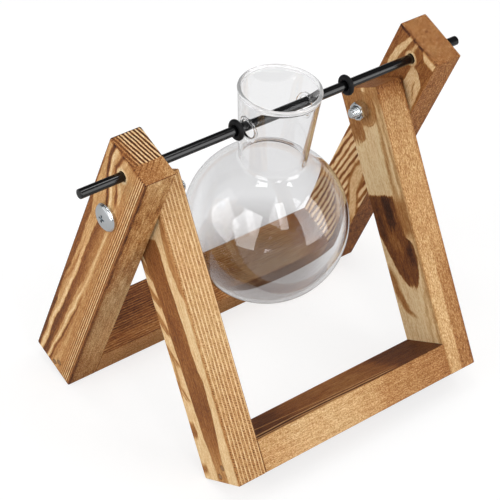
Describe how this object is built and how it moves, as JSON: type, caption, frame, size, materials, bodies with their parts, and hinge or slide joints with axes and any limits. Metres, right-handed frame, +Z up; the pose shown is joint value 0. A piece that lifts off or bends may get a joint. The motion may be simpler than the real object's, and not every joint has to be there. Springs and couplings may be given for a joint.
{
  "type": "vase with wooden stand",
  "caption": "Round glass propagation vase hung by its drilled neck from a black steel rod, in a stand of hinged wooden frames that folds flat.",
  "frame": {"origin": "on the surface that the stand rests on, under the middle of the whole object", "axes": "+X along the hanging rod to the right, -Y to the front where the inner frame stands, +Z up"},
  "size_m": [0.203, 0.1264, 0.1528],
  "materials": {
    "outer_wood": "flame-browned softwood, satin",
    "inner_wood": "flame-browned softwood, satin",
    "brad_steel": "plain steel, darkened",
    "zinc": "bright zinc plate",
    "black_steel": "satin black",
    "black_rubber": "matt",
    "clear_glass": "clear blown glass"
  },
  "bodies": {
    "outer_frame": {"outer_left_leg": "outer_wood", "outer_right_leg": "outer_wood", "outer_rail": "outer_wood", "outer_left_lower_brad": "brad_steel", "outer_left_upper_brad": "brad_steel", "outer_right_lower_brad": "brad_steel", "outer_right_upper_brad": "brad_steel", "left_pivot_bolt": "zinc", "right_pivot_bolt": "zinc", "left_spacer_washer": "zinc", "right_spacer_washer": "zinc", "left_pivot_nut": "zinc", "right_pivot_nut": "zinc"},
    "inner_frame": {"inner_left_leg": "inner_wood", "inner_right_leg": "inner_wood", "inner_rail": "inner_wood", "inner_left_lower_brad": "brad_steel", "inner_left_upper_brad": "brad_steel", "inner_right_lower_brad": "brad_steel", "inner_right_upper_brad": "brad_steel"},
    "rod": {"hanging_rod": "black_steel"},
    "left_ring": {"left_stop_ring": "black_rubber"},
    "right_ring": {"right_stop_ring": "black_rubber"},
    "vase": {"glass_vase": "clear_glass"}
  },
  "joints": [
    {"name": "frame_fold", "type": "hinge", "parent": "outer_frame", "child": "inner_frame", "pos_m": [0.0044, 0.01511, 0.11371], "axis": [-1, 0, 0], "range_deg": [-35, 94]},
    {"name": "rod_slide", "type": "slide", "parent": "outer_frame", "child": "rod", "axis": [1, 0, 0], "range_m": [-0.011, 0.011]},
    {"name": "vase_swing", "type": "hinge", "parent": "rod", "child": "vase", "pos_m": [0.0044, 0.00656, 0.13984], "axis": [1, 0, 0], "continuous": true},
    {"name": "left_ring_slide", "type": "slide", "parent": "rod", "child": "left_ring", "axis": [1, 0, 0], "range_m": [-0.0125, 0.0015]},
    {"name": "right_ring_slide", "type": "slide", "parent": "rod", "child": "right_ring", "axis": [1, 0, 0], "range_m": [-0.012, 0.0075]}
  ]
}
